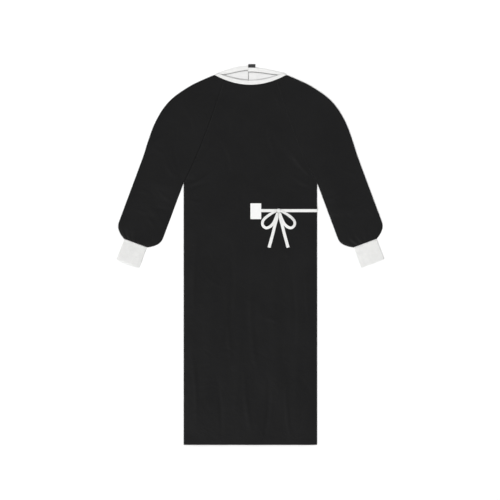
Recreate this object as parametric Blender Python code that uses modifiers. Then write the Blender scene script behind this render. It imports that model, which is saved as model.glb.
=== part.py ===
"""A surgical gown laid flat on its back, face up, with its waist tie in a bow.

+X is the wearer's left, +Y runs to the neck and +Z is up. The origin is under the middle of the gown, on
the surface that it lies on. Lengths here are in millimetres, and the meshes are in metres. A plan point
is (x, height up the gown from the hem).
"""

from math import cos, hypot, pi, radians, sin, sqrt

import bmesh
import bpy
import numpy as np
from mathutils import Matrix, Vector

MM = 0.001

# The gown's driving sizes
GOWN_LENGTH = 1255.6
BODY_WIDTH = 440.0
UNDERARM_HEIGHT = 863.8
WAIST_HEIGHT = 772.2
SHOULDER_HEIGHT = 1220.0
SEAM_NECK_WIDTH = 237.0
OPEN_NECK_WIDTH = 213.8
BINDING_RISE = 5.9
WRIST = (378.7, 664.8)
SLEEVE_ANGLE = radians(20.4)
SLEEVE_TUBE_LENGTH = 242.0
SLEEVE_IN = 79.0
SLEEVE_OUT = 76.0
WRIST_HALF = 40.0
WRIST_ROUND = 50.0
CUFF_LENGTH = 71.5
CUFF_HALF = (39.5, 40.5)

# Cloth, knit and tape
CLOTH = 1.2
KNIT = 1.6
BINDING = 1.4
BINDING_PROUD = 0.4
TAPE = 1.0
TAPE_WIDTH = 10.0
CARD = 1.0
GAP = 0.3
SEAM_HALF_GAP = 0.2

# Neckline: how far each arc dips or rises at the middle, and how sharply
FRONT_SEAM_DIP = 32.7
FRONT_OPEN_DIP = 24.7
BACK_SEAM_POWER = 2.5
FLAPS = {
    "outer": {"seam_rise": 16.8, "open_rise": 24.4, "neck_edge": 16.5, "waist_edge": 110.0},
    "inner": {"seam_rise": 11.0, "open_rise": 18.2, "neck_edge": -7.3, "waist_edge": -100.0},
}
FLAP_SLANT = (1187.8, 877.8)
TAB_TOP = GOWN_LENGTH

# Raglan seams run from the neckline to the underarm, bowed towards a point
RAGLAN_NECK_X = 88.0
NECK_BOW_FADE = 8
RAGLAN_BOW = {"front": (150.0, 999.8), "back": (150.0, 1007.8)}
RAGLAN_SHARES = (0, 0.07, 0.14, 0.21, 0.29, 0.37, 0.46, 0.55, 0.65, 0.77, 0.88, 1)

# Shoulder fold: share of the raglan seam, x, height
SHOULDER_FOLD = (
    (0.00, 118.5, 1220.0),
    (0.10, 165.0, 1200.2),
    (0.20, 203.8, 1180.4),
    (0.33, 255.8, 1144.3),
    (0.46, 290.7, 1104.5),
    (0.60, 317.9, 1054.8),
    (0.74, 337.6, 1001.3),
    (0.87, 351.6, 956.8),
    (1.00, 365.6, 918.1),
)
TUBE_STATIONS = (-242, -205, -168, -132, -98, -72, -52, -38, -27, -18, -11, -6, -2.5, 0)

# How the top layer rises from the outline to the middle
FOLD_RADIUS = 1.35
MIDDLE_RISE = 3.5
RISE_REACH = 48.0
HEM_SHARE, HEM_REACH = 0.55, 120.0
NECK_SHARE, NECK_REACH = 0.7, 80.0
FLAP_LIFT = 1.7
FLAP_LIFT_END = 15.0
BELT_LIFT = 1.3
BELT_LIFT_FLAT = 7.0
BELT_LIFT_END = 22.0
BELT_LIFT_IN = (150.0, 190.0)

# Soft folds: from x, height; to x, height; half width; rise
FOLDS = (
    (-120, 678, -150, 68, 38, 1.8),
    (-30, 548, -45, 28, 32, 1.4),
    (70, 628, 95, 108, 40, 2.0),
    (155, 478, 150, 28, 26, 1.5),
    (-205, 883, -60, 1058, 24, 2.0),
    (205, 890, 75, 1028, 26, 1.7),
    (-190, 818, -90, 958, 18, 1.2),
    (20, 1168, -15, 928, 30, 1.2),
    (250, 828, 335, 862, 30, 1.6),
    (285, 768, 352, 812, 26, 1.3),
    (-246, 842, -338, 872, 30, 1.5),
    (-292, 752, -356, 792, 26, 1.4),
)
GATHERS = 6
GATHER_RISE = 2.2
GATHER_REACH = 55.0

# Knit cuffs
CUFF_RADIUS = 1.75
CUFF_RISE = 2.8
RIBS = 29
RIB_RISE = 0.5

# Waist tie: the card, the knot, a loop and a tail, in places measured from the knot
KNOT = (92.8, WAIST_HEIGHT)
KNOT_SIZE = (13.0, 12.5, 7.0)
KNOT_ROUND = 2.4
CARD_MIDDLE = (17.9, 770.2)
CARD_SIZE = (35.6, 52.0)
TIE_UNDER_CARD = 9.0
TIE_TURN_RADIUS = 1.2

# Loop: across, up, width, tilt in degrees, clearance over the front
LOOP = (
    (-7.5, -1.8, 5.6, 0, 1.7),
    (-22.0, -8.8, 8.0, 8, 1.7),
    (-34.0, -16.5, 9.6, 16, 1.2),
    (-45.0, -25.5, 10.0, 24, 0.35),
    (-52.4, -36.0, 10.0, 28, 0.35),
    (-51.8, -48.5, 10.0, 28, 0.35),
    (-41.5, -56.8, 10.0, 26, 0.35),
    (-28.5, -52.8, 10.0, 20, 1.0),
    (-17.6, -41.5, 9.4, 12, 1.7),
    (-10.4, -25.0, 7.8, 6, 1.7),
    (-5.2, -9.0, 5.2, 0, 1.7),
)
# Tail: across, up, width
TAIL = (
    (-2.8, -6.7, 4.8),
    (-4.2, -22.8, 7.2),
    (-7.9, -36.0, 8.5),
    (-12.4, -50.0, 9.5),
    (-20.0, -80.0, 10.0),
    (-31.4, -121.5, 10.0),
)
TAIL_CLEARANCE = 0.35

BODY_HALF = BODY_WIDTH / 2
SEAM_NECK_HALF = SEAM_NECK_WIDTH / 2
OPEN_NECK_HALF = OPEN_NECK_WIDTH / 2
OPEN_NECK_HEIGHT = SHOULDER_HEIGHT + BINDING_RISE
UNDERARM = (BODY_HALF, UNDERARM_HEIGHT)
PANEL_SIDE = BODY_HALF - SEAM_HALF_GAP
KNOT_LEFT = KNOT[0] - KNOT_SIZE[0] / 2
KNOT_RIGHT = KNOT[0] + KNOT_SIZE[0] / 2

# Rows and columns of the panels
SKIRT_HEIGHTS = (0, 30, 80, 140, 200, 260, 320, 380, 440, 500, 560, 620, 680, 725)
BODY_HEIGHTS = (*SKIRT_HEIGHTS, 750.2, 765.2, 779.2, 794.2, 830)
FRONT_COLUMNS = (0, 0.1, 0.22, 0.34, 0.46, 0.58, 0.7, 0.8, 0.87, 0.93, 0.97, 1)
FLAP_RAMP = (1.0, 4.5, 8.0, 11.5, FLAP_LIFT_END)


def ease(share):
    """From 0 to 1, level at both ends."""
    share = min(max(share, 0.0), 1.0)
    return share * share * (3 - 2 * share)


def mix(start, end, share):
    return start + (end - start) * share


def smooth_through(rows, steps):
    """Rows of numbers on a Catmull-Rom curve through these rows, with this many steps between each two."""
    rows = [np.array(row, float) for row in rows]
    rows = [2 * rows[0] - rows[1], *rows, 2 * rows[-1] - rows[-2]]
    found = []
    for before, start, end, after in zip(rows, rows[1:], rows[2:], rows[3:]):
        for step in range(steps):
            t = step / steps
            bend = (2 * before - 5 * start + 4 * end - after) * t * t
            turn = (3 * (start - end) + after - before) * t**3
            found.append((2 * start + (end - before) * t + bend + turn) / 2)
    return [*found, rows[-2]]


# Plan curves


def front_seam(x):
    """The height of the seam between the front and its neck binding."""
    return SHOULDER_HEIGHT - FRONT_SEAM_DIP * (1 - (x / SEAM_NECK_HALF) ** 2)


def front_opening(x):
    return OPEN_NECK_HEIGHT - FRONT_OPEN_DIP * (1 - (x / OPEN_NECK_HALF) ** 2)


def back_seam(x, flap):
    inward = max(1 - (x / SEAM_NECK_HALF) ** 2, 0)
    return SHOULDER_HEIGHT + FLAPS[flap]["seam_rise"] * inward**BACK_SEAM_POWER


def back_opening(x, flap):
    return OPEN_NECK_HEIGHT + FLAPS[flap]["open_rise"] * (1 - (x / OPEN_NECK_HALF) ** 2)


def flap_edge(height, flap):
    """The x of a back flap's free edge, which slants outwards from the neck to the waist."""
    share = ease((FLAP_SLANT[0] - height) / (FLAP_SLANT[0] - FLAP_SLANT[1]))
    return mix(FLAPS[flap]["neck_edge"], FLAPS[flap]["waist_edge"], share)


def neck_seam(x, layer):
    """The neckline seam of the front, or of the flap that the layer names."""
    return front_seam(x) if layer == "front" else back_seam(x, layer)


def raglan(share, layer):
    """A plan point on the raglan seam at +X, from the neckline to the underarm."""
    start = (RAGLAN_NECK_X, neck_seam(RAGLAN_NECK_X, layer))
    bow = RAGLAN_BOW["front" if layer == "front" else "back"]
    return tuple(
        (1 - share) ** 2 * a + 2 * share * (1 - share) * b + share**2 * c
        for a, b, c in zip(start, bow, UNDERARM)
    )


def shoulder_point(share):
    """A plan point on the shoulder fold, and the way out from it."""
    steps = 10
    curve = smooth_through(SHOULDER_FOLD, steps)
    shares = [row[0] for row in curve]

    def at(value):
        return np.array([np.interp(value, shares, [row[k] for row in curve]) for k in (1, 2)])

    along = at(min(share + 0.02, 1)) - at(max(share - 0.02, 0))
    outward = np.array([-along[1], along[0]]) / hypot(*along)
    return at(share), outward


def arm_point(station, across):
    """A plan point of the sleeve tube at +X, from its place down the arm from the wrist and across it."""
    x = WRIST[0] + station * sin(SLEEVE_ANGLE) + across * cos(SLEEVE_ANGLE)
    height = WRIST[1] - station * cos(SLEEVE_ANGLE) + across * sin(SLEEVE_ANGLE)
    return np.array([x, height])


def tube_edge(station, side):
    """A plan point on the sleeve tube's outline, and the way out from it; side is 1 outside, -1 inside."""
    widest = SLEEVE_OUT if side > 0 else SLEEVE_IN
    turn = max((station + WRIST_ROUND) / WRIST_ROUND, 0)
    across = mix(widest, WRIST_HALF, turn**2.5)
    slope = -2.5 * turn**1.5 * (widest - WRIST_HALF) / WRIST_ROUND
    outward = arm_point(-slope, side) - arm_point(0, 0)
    return arm_point(station, side * across), outward / hypot(*outward)


def outline():
    """The gown's outline at +X as pairs of plan points, without the hem, the neckline and the cuff's end."""
    inside = [tube_edge(station, -1)[0] for station in TUBE_STATIONS]
    outside = [tube_edge(station, 1)[0] for station in TUBE_STATIONS]
    shoulder = [shoulder_point(share)[0] for share in RAGLAN_SHARES]
    neck = (OPEN_NECK_HALF, OPEN_NECK_HEIGHT)
    past_hem = (BODY_HALF, -RISE_REACH)
    body = [past_hem, UNDERARM, *inside, arm_point(CUFF_LENGTH, -CUFF_HALF[1])]
    top = [neck, *shoulder, *outside, arm_point(CUFF_LENGTH, CUFF_HALF[1])]
    pairs = [*zip(body, body[1:]), *zip(top, top[1:])]
    return np.array([(start, end) for start, end in pairs if hypot(*np.subtract(end, start)) > GAP])


OUTLINE = outline()


# Heights above the floor


def outline_distance(x, height):
    point = np.array([abs(x), height])
    start, along = OUTLINE[:, 0], OUTLINE[:, 1] - OUTLINE[:, 0]
    share = ((point - start) * along).sum(axis=1) / (along**2).sum(axis=1)
    nearest = start + np.clip(share, 0, 1)[:, None] * along
    return sqrt(((nearest - point) ** 2).sum(axis=1).min())


def fold_rise(x, height):
    """How much the soft folds raise the cloth: each a ridge that fades at its sides and ends."""
    rise = 0
    for x0, h0, x1, h1, half_width, top in FOLDS:
        length = hypot(x1 - x0, h1 - h0)
        along = ((x - x0) * (x1 - x0) + (height - h0) * (h1 - h0)) / length**2
        off = abs((x - x0) * (h1 - h0) - (height - h0) * (x1 - x0)) / length
        if 0 < along < 1 and off < half_width:
            rise += top * cos(pi / 2 * off / half_width) ** 2 * sin(pi * along)
    return rise


def belt_rise(x, height):
    """How much the belt under the wearer's left side raises the front's side edge."""
    across = ease((x - BELT_LIFT_IN[0]) / (BELT_LIFT_IN[1] - BELT_LIFT_IN[0]))
    return across * over_belt(height)


def over_belt(height):
    past = (abs(height - WAIST_HEIGHT) - BELT_LIFT_FLAT) / (BELT_LIFT_END - BELT_LIFT_FLAT)
    return BELT_LIFT * (1 - ease(past))


def top_height(x, height):
    """The outer face of the front and of the sleeves' upper side."""
    inward = max(outline_distance(x, height) - FOLD_RADIUS, 0)
    share = 1 - (1 - min(inward / RISE_REACH, 1)) ** 2
    share *= mix(HEM_SHARE, 1, ease(height / HEM_REACH))
    share *= mix(NECK_SHARE, 1, ease((front_opening(x) - height) / NECK_REACH))
    return 2 * FOLD_RADIUS + share * (MIDDLE_RISE + fold_rise(x, height)) + belt_rise(x, height)


def inner_flap_height(x, height):
    """The underside of the inner flap, which lies on the outer flap and on the belt."""
    past = x - flap_edge(height, "outer") - FLAP_RAMP[0]
    on_flap = FLAP_LIFT * (1 - ease(past / (FLAP_LIFT_END - FLAP_RAMP[0])))
    return max(on_flap, over_belt(height))


# Mesh makers


def placed(point):
    """Metres in the frame, from x, height up the gown and height above the floor."""
    return Vector((point[0], point[1] - GOWN_LENGTH / 2, point[2])) * MM


def add_object(name, mesh, material):
    obj = bpy.data.objects.new(name, mesh)
    obj.data.materials.append(material)
    bpy.data.collections["surgical_gown"].objects.link(obj)
    return obj


def sheet(name, rows, thickness, offset, material, closed=False):
    """A surface through rows of points, thickened; None leaves a gap, and closed joins each row's ends."""
    mesh = bpy.data.meshes.new(name)
    work = bmesh.new()
    grid = [[point is not None and work.verts.new(placed(point)) for point in row] for row in rows]
    columns = len(rows[0])
    for near, far in zip(grid, grid[1:]):
        for j in range(columns if closed else columns - 1):
            k = (j + 1) % columns
            corners = (near[j], near[k], far[k], far[j])
            if all(corners):
                work.faces.new(corners)
    work.to_mesh(mesh)
    work.free()
    mesh.shade_smooth()
    obj = add_object(name, mesh, material)
    solidify = obj.modifiers.new("Solidify", "SOLIDIFY")
    solidify.thickness = thickness * MM
    solidify.offset = offset
    return obj


def tube(name, outer, inner, material):
    """A wall between rings of points outside and as many inside, open at both ends."""
    mesh = bpy.data.meshes.new(name)
    work = bmesh.new()
    rings = [[work.verts.new(placed(point)) for point in ring] for ring in (*outer, *reversed(inner))]
    rings.append(rings[0])
    for near, far in zip(rings, rings[1:]):
        for j in range(len(near)):
            k = (j + 1) % len(near)
            work.faces.new((near[j], near[k], far[k], far[j]))
    bmesh.ops.recalc_face_normals(work, faces=work.faces[:])
    work.to_mesh(mesh)
    work.free()
    return add_object(name, mesh, material)


def mirrored(rows, side):
    """Rows for the +X side, turned over to the -X side in an order that keeps their faces outwards."""
    if side > 0:
        return rows
    return [[point and (-point[0], point[1], point[2]) for point in row] for row in reversed(rows)]


# The panels


def row_height(side, seam_height, share, layer):
    """The height at each x of a panel's row, bent like the neckline near the neck and level at the side."""
    neck = neck_seam(RAGLAN_NECK_X, layer)
    narrowing = RAGLAN_NECK_X / side
    return lambda x: seam_height + (1 - share) ** 2 * (neck_seam(x * narrowing, layer) - neck)


def panel_rows(layer):
    """The side x and the height at each x, of each row from the hem to the neck."""
    rows = [(PANEL_SIDE, row_height(PANEL_SIDE, height, 1, layer)) for height in BODY_HEIGHTS]
    for share in reversed(RAGLAN_SHARES):
        x, height = raglan(share, layer)
        side = x - SEAM_HALF_GAP
        rows.append((side, row_height(side, height - SEAM_HALF_GAP, share, layer)))
    return rows


def front(material):
    columns = [-share for share in reversed(FRONT_COLUMNS[1:])] + list(FRONT_COLUMNS)
    rows = []
    for side, height in panel_rows("front"):
        plan = [(side * share, height(side * share)) for share in columns]
        rows.append([(x, h, top_height(x, h)) for x, h in plan])
    sheet("front", rows, CLOTH, -1, material)


def edge_in_row(height, flap):
    """Where a flap's slanting edge crosses a row."""
    x = 0
    for _ in range(4):
        x = flap_edge(height(x), flap)
    return x


def back_outer(material):
    """The wearer's right flap, flat on the floor, from the side to its free edge past the middle."""
    rows = []
    steps = 9
    for side, height in panel_rows("outer"):
        edge = edge_in_row(height, "outer")
        plan = [mix(-side, edge, step / steps) for step in range(steps + 1)]
        rows.append([(x, height(x), 0) for x in plan])
    sheet("back_outer", rows, CLOTH, 1, material)


def back_inner(material):
    """The wearer's left flap, which lies over the other flap and the belt."""
    rows = []
    steps = 5
    for side, height in panel_rows("inner"):
        edge = edge_in_row(height, "inner")
        under = edge_in_row(height, "outer")
        ramp = [under + past for past in FLAP_RAMP]
        plan = [edge, mix(edge, ramp[0], 0.5), *ramp]
        plan += [mix(ramp[-1], side, step / steps) for step in range(1, steps + 1)]
        rows.append([(x, height(x), inner_flap_height(x, height(x))) for x in plan])
    sheet("back_inner", rows, CLOTH, 1, material)


# The sleeves and the cuffs


def round_edge(edge, outward, turns):
    """Points round a sleeve's folded edge, at these turns in degrees from straight out."""
    centre = edge - FOLD_RADIUS * outward
    points = []
    for turn in turns:
        plan = centre + FOLD_RADIUS * cos(radians(turn)) * outward
        points.append((*plan, FOLD_RADIUS * (1 + sin(radians(turn)))))
    return points


def gather_rise(share, station):
    """The gathers that the sleeve's end is drawn into at the cuff."""
    return GATHER_RISE * sin(pi * GATHERS * share) ** 2 * (1 - ease(-station / GATHER_REACH))


def sleeve_row(start, end, fold, side, station, bow):
    """A row from the under layer's inner edge round the outer fold to the upper layer's inner edge."""
    centre = round_edge(*fold, [90])[0]
    under_steps, upper_steps = 6, 4 * GATHERS
    under = []
    for step in range(under_steps + 1):
        x, height = (mix(start[k], centre[k], step / under_steps) for k in (0, 1))
        under.append((x, height + bow("under", x), 0))
    upper = []
    for step in range(upper_steps + 1):
        share = step / upper_steps
        x, height = (mix(centre[k], end[k], share) for k in (0, 1))
        height += bow("upper", x)
        z = top_height(side * x, height) if step else centre[2]
        upper.append((x, height, z + gather_rise(share, station)))
    return [*under, *round_edge(*fold, [-45, 0, 45]), *upper]


def shoulder_row(share, side, flap):
    """A row above the underarm, between the two raglan seams."""
    start = np.array(raglan(share, flap)) + (SEAM_HALF_GAP, -SEAM_HALF_GAP * (share == 0))
    end = np.array(raglan(share, "front")) + (SEAM_HALF_GAP, -SEAM_HALF_GAP * (share == 0))
    edge, outward = shoulder_point(share)
    edge = edge - (0, SEAM_HALF_GAP * (share == 0))

    def bow(part, x):
        """How far the neckline seam lies from the straight line between its ends, fading down the sleeve."""
        layer = "front" if part == "upper" else flap
        inner = neck_seam(RAGLAN_NECK_X, layer)
        across = (x - RAGLAN_NECK_X) / (SEAM_NECK_HALF - RAGLAN_NECK_X)
        if not 0 < across < 1:
            return 0
        return (1 - share) ** NECK_BOW_FADE * (neck_seam(x, layer) - mix(inner, SHOULDER_HEIGHT, across))

    row = sleeve_row(start, end, (edge, outward), side, -SLEEVE_TUBE_LENGTH, bow)
    return [None, *row, None, None]


def tube_row(station, side):
    """A row of the closed tube below the underarm."""
    inner = tube_edge(station, -1)
    below, above = round_edge(*inner, [-90, 90])
    row = sleeve_row(below, above, tube_edge(station, 1), side, station, lambda part, x: 0)
    last = row[-1]
    row[-1] = (last[0], last[1], above[2])
    lower, outermost, upper = round_edge(*inner, [-45, 0, 45])
    return [lower, *row, upper, outermost]


def sleeve(name, side, flap, material):
    rows = [shoulder_row(share, side, flap) for share in RAGLAN_SHARES[:-1]]
    rows += [tube_row(station, side) for station in TUBE_STATIONS]
    sheet(name, mirrored(rows, side), CLOTH, -1, material, closed=True)


def cuff_ring(station, half, side, inset):
    """A ring across the cuff: flat below, round at its sides and bowed above, with ribs on the outside."""
    reach = half - CUFF_RADIUS
    radius = CUFF_RADIUS - inset
    ring = []
    for turn in (-90, -45, 0, 45):
        ring.append((reach + radius * cos(radians(turn)), CUFF_RADIUS + radius * sin(radians(turn))))
    samples = 4 * RIBS
    for step in range(samples + 1):
        across = mix(reach, -reach, step / samples)
        z = CUFF_RADIUS + radius + CUFF_RISE * (1 - (across / reach) ** 2)
        rib = 0 if inset else RIB_RISE * sin(pi * RIBS * step / samples) ** 2
        ring.append((across, z + rib))
    for turn in (135, 180, 225, 270):
        ring.append((-reach + radius * cos(radians(turn)), CUFF_RADIUS + radius * sin(radians(turn))))
    return [(side * x, height, z) for (x, height), z in ((arm_point(station, n), z) for n, z in ring)]


def cuff(name, side, material):
    ends = list(zip((GAP, CUFF_LENGTH), CUFF_HALF))
    outer = [cuff_ring(station, half, side, 0) for station, half in ends]
    inner = [cuff_ring(station, half, side, KNIT) for station, half in ends]
    tube(name, outer, inner, material)


# The neck's binding and tab


def binding_front(material):
    """The strip on the front neckline, from fold to fold of the shoulders."""
    steps = 24
    rows = [[], []]
    for step in range(steps + 1):
        share = mix(-1, 1, step / steps)
        seam_x, open_x = SEAM_NECK_HALF * share, OPEN_NECK_HALF * share
        seam = (seam_x, front_seam(seam_x) + SEAM_HALF_GAP)
        opening = (open_x, front_opening(open_x))
        for row, (x, height) in zip(rows, (seam, opening)):
            row.append((x, height, top_height(x, height) + BINDING_PROUD))
    sheet("binding_front", rows, BINDING, -1, material)


def binding_back(name, flap, ends, material):
    """The strip on a flap's neckline, between its free edge and the shoulder fold."""
    steps = 22
    rows = [[], []]
    for step in range(steps + 1):
        seam_x = mix(ends[0], SEAM_NECK_HALF * ends[1], step / steps)
        open_x = mix(ends[0], OPEN_NECK_HALF * ends[1], step / steps)
        seam = (seam_x, back_seam(seam_x, flap) + SEAM_HALF_GAP)
        opening = (open_x, back_opening(open_x, flap))
        for row, (x, height) in zip(rows, (seam, opening)):
            z = inner_flap_height(x, height) if flap == "inner" else 0
            row.append((x, height, z))
    if ends[1] < 0:
        rows = [row[::-1] for row in rows]
    sheet(name, rows, BINDING, 1, material)


def neck_tab(material):
    """The hook tab that ends the outer flap's binding, under the inner flap's."""
    left, right = FLAPS["inner"]["neck_edge"] + GAP, FLAPS["outer"]["neck_edge"]
    bottom = back_seam(0, "outer") + GAP
    corners = [(left, bottom), (right, bottom), (right, TAB_TOP), (left, TAB_TOP)]
    flat_piece("neck_tab", corners, 0, BINDING, material)


def flat_piece(name, corners, bottom, thickness, material):
    """A flat outline with its thickness, made a mesh."""
    curve = bpy.data.curves.new(name, "CURVE")
    curve.dimensions = "2D"
    curve.fill_mode = "BOTH"
    curve.extrude = thickness * MM / 2
    spline = curve.splines.new("POLY")
    spline.points.add(len(corners) - 1)
    for point, (x, height) in zip(spline.points, corners):
        point.co = (*placed((x, height, 0)), 1)
    spline.use_cyclic_u = True
    obj = add_object(name, curve, material)
    obj.location.z = (bottom + thickness / 2) * MM
    return obj


# The waist tie


def ribbon(name, centres, widths, sides, material):
    """A tape along its centre points; sides point from each centre to the same edge of the tape."""
    rows = []
    for centre, width, side in zip(centres, widths, sides):
        half = np.array(side) * width / 2
        rows.append([tuple(centre - half), tuple(centre + half)])
    sheet(name, rows, TAPE, 0, material)


def tie_long(material):
    """The belt from the outer flap's edge under the wearer's left side, round it and over to the knot."""
    middle = TAPE / 2
    turn = PANEL_SIDE - SEAM_HALF_GAP
    top = top_height(turn, WAIST_HEIGHT) + GAP + middle
    route = [(flap_edge(WAIST_HEIGHT, "outer") + GAP, middle)]
    for angle in (-90, -60, -30, 0):
        route.append(turned(turn, middle + TIE_TURN_RADIUS, angle))
    for angle in (0, 30, 60, 90):
        route.append(turned(turn, top - TIE_TURN_RADIUS, angle))
    steps = 14
    for step in range(1, steps + 1):
        x = mix(turn, KNOT_RIGHT + GAP, step / steps)
        route.append((x, top_height(x, WAIST_HEIGHT) + GAP + middle))
    centres = [np.array((x, WAIST_HEIGHT, z)) for x, z in route]
    count = len(centres)
    ribbon("tie_long", centres, [TAPE_WIDTH] * count, [(0, 1, 0)] * count, material)


def turned(x, z, angle):
    """A point on the belt's turn round the side."""
    return x + TIE_TURN_RADIUS * cos(radians(angle)), z + TIE_TURN_RADIUS * sin(radians(angle))


def tie_short(material):
    """The tape from under the card to the knot."""
    centres = []
    steps = 4
    for step in range(steps + 1):
        x = mix(CARD_MIDDLE[0] - TIE_UNDER_CARD, KNOT_LEFT - GAP, step / steps)
        z = top_height(x, WAIST_HEIGHT) + GAP + TAPE / 2
        centres.append(np.array((x, WAIST_HEIGHT, z)))
    count = len(centres)
    ribbon("tie_short", centres, [TAPE_WIDTH] * count, [(0, 1, 0)] * count, material)


def tie_card(material):
    """The transfer card on the tie's end."""
    x, height = CARD_MIDDLE
    half_width, half_height = CARD_SIZE[0] / 2, CARD_SIZE[1] / 2
    signs = ((-1, -1), (1, -1), (1, 1), (-1, 1))
    corners = [(x + half_width * a, height + half_height * b) for a, b in signs]
    bottom = top_height(x, height) + GAP + TAPE + GAP
    flat_piece("tie_card", corners, bottom, CARD, material)


def bow_knot(material):
    mesh = bpy.data.meshes.new("bow_knot")
    work = bmesh.new()
    size = Matrix.Diagonal((*(side * MM for side in KNOT_SIZE), 1))
    bmesh.ops.create_cube(work, size=1, matrix=size)
    work.to_mesh(mesh)
    work.free()
    obj = add_object("bow_knot", mesh, material)
    obj.location = placed((*KNOT, top_height(*KNOT) + GAP + KNOT_SIZE[2] / 2))
    bevel = obj.modifiers.new("Bevel", "BEVEL")
    bevel.width = KNOT_ROUND * MM
    bevel.segments = 3


def along_of(points):
    """The way that a line of plan points runs at each of them."""
    ends = [points[0], *points, points[-1]]
    ways = [np.subtract(after, before) for before, after in zip(ends, ends[2:])]
    return [way / hypot(*way) for way in ways]


def bow_loop(name, side, material):
    """A loop of the bow, drooping beside the knot, with its inner edge raised."""
    rows = smooth_through(LOOP, 3)
    centres, widths, sides = [], [], []
    for (across, up, width, tilt, clearance), way in zip(rows, along_of([row[:2] for row in rows])):
        tilt = radians(tilt)
        x, height = KNOT[0] - side * across, KNOT[1] + up
        lift = clearance + width / 2 * sin(tilt) + TAPE / 2 * cos(tilt)
        centres.append(np.array((x, height, top_height(x, height) + lift)))
        widths.append(width)
        sides.append((side * way[1] * cos(tilt), way[0] * cos(tilt), sin(tilt)))
    ribbon(name, centres, widths, sides, material)


def bow_tail(name, side, material):
    """A free end of the tie, flat on the front."""
    rows = smooth_through(TAIL, 3)
    centres, widths, sides = [], [], []
    for (across, up, width), way in zip(rows, along_of([row[:2] for row in rows])):
        x, height = KNOT[0] - side * across, KNOT[1] + up
        z = top_height(x, height) + TAIL_CLEARANCE + TAPE / 2
        centres.append(np.array((x, height, z)))
        widths.append(width)
        sides.append((side * way[1], way[0], 0))
    ribbon(name, centres, widths, sides, material)


# Materials and the whole gown


def finish(name, colour, roughness):
    material = bpy.data.materials.new(name)
    material.use_nodes = True
    shader = material.node_tree.nodes["Principled BSDF"]
    shader.inputs["Base Color"].default_value = (*colour, 1)
    shader.inputs["Roughness"].default_value = roughness
    shader.inputs["Metallic"].default_value = 0
    return material


def clear_scene():
    for obj in list(bpy.data.objects):
        bpy.data.objects.remove(obj)
    collection = bpy.data.collections.new("surgical_gown")
    bpy.context.scene.collection.children.link(collection)


def build():
    clear_scene()
    black_cloth = finish("black_nonwoven", (0.012, 0.012, 0.013), 0.75)
    white_knit = finish("white_knit", (0.85, 0.85, 0.84), 0.9)
    white_tape = finish("white_tape", (0.86, 0.86, 0.85), 0.8)
    white_card = finish("white_card", (0.88, 0.88, 0.87), 0.6)
    black_hooks = finish("black_hooks", (0.02, 0.02, 0.02), 0.65)

    front(black_cloth)
    back_outer(black_cloth)
    back_inner(black_cloth)
    sleeve("sleeve_left", 1, "inner", black_cloth)
    sleeve("sleeve_right", -1, "outer", black_cloth)
    cuff("cuff_left", 1, white_knit)
    cuff("cuff_right", -1, white_knit)

    binding_front(white_tape)
    binding_back("binding_back_outer", "outer", (FLAPS["inner"]["neck_edge"] - GAP, -1), white_tape)
    binding_back("binding_back_inner", "inner", (FLAPS["inner"]["neck_edge"], 1), white_tape)
    neck_tab(black_hooks)

    tie_long(white_tape)
    tie_short(white_tape)
    tie_card(white_card)
    bow_knot(white_tape)
    bow_loop("bow_loop_left", 1, white_tape)
    bow_loop("bow_loop_right", -1, white_tape)
    bow_tail("bow_tail_left", 1, white_tape)
    bow_tail("bow_tail_right", -1, white_tape)


build()
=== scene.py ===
"""The looks of a surgical gown laid flat: thin cloth, rib knit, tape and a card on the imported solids.

Lengths are in millimetres and become metres as each mesh is made. A plan point is (x, height up the gown
from the hem), +X is the wearer's left, and the top layer is the front with the sleeves' upper sides.
"""

from math import cos, hypot, pi, radians, sin

import bmesh
import bpy
import numpy as np
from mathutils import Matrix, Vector


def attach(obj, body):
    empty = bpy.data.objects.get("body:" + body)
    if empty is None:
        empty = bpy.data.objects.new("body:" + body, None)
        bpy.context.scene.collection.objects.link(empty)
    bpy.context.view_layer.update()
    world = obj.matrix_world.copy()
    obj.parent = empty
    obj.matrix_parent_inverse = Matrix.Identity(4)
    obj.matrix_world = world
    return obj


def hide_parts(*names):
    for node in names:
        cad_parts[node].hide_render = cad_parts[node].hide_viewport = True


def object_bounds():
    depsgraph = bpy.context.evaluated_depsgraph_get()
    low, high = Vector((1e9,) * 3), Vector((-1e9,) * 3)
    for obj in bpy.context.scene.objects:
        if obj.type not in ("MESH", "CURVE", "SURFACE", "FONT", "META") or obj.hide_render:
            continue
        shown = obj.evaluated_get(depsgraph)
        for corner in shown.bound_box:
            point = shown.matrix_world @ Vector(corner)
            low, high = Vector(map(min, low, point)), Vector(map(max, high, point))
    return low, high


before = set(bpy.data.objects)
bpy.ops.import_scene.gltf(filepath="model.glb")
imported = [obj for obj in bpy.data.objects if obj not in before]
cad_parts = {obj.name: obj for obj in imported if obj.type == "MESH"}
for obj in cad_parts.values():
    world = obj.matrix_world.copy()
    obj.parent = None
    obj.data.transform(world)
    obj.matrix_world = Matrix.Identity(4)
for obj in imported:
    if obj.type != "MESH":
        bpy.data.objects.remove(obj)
CAD_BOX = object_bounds()

MM = 0.001
UV_NAME = "cloth_mm"

# The gown's sizes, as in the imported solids
GOWN_LENGTH = (CAD_BOX[1][1] - CAD_BOX[0][1]) / MM
BODY_HALF = 220.0
UNDERARM_HEIGHT = 863.8
WAIST_HEIGHT = 772.2
SHOULDER_HEIGHT = 1220.0
SEAM_NECK_HALF = 118.5
OPEN_NECK_HALF = 106.9
OPEN_NECK_HEIGHT = 1225.9
WRIST = (378.7, 664.8)
SLEEVE_ANGLE = radians(20.4)
SLEEVE_IN, SLEEVE_OUT = 79.0, 76.0
TUBE_LENGTH = 242.0
WRIST_HALF, WRIST_ROUND = 40.0, 50.0
CUFF_LENGTH = 71.5
CUFF_HALF = (39.5, 40.5)
GAP = 0.3

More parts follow.
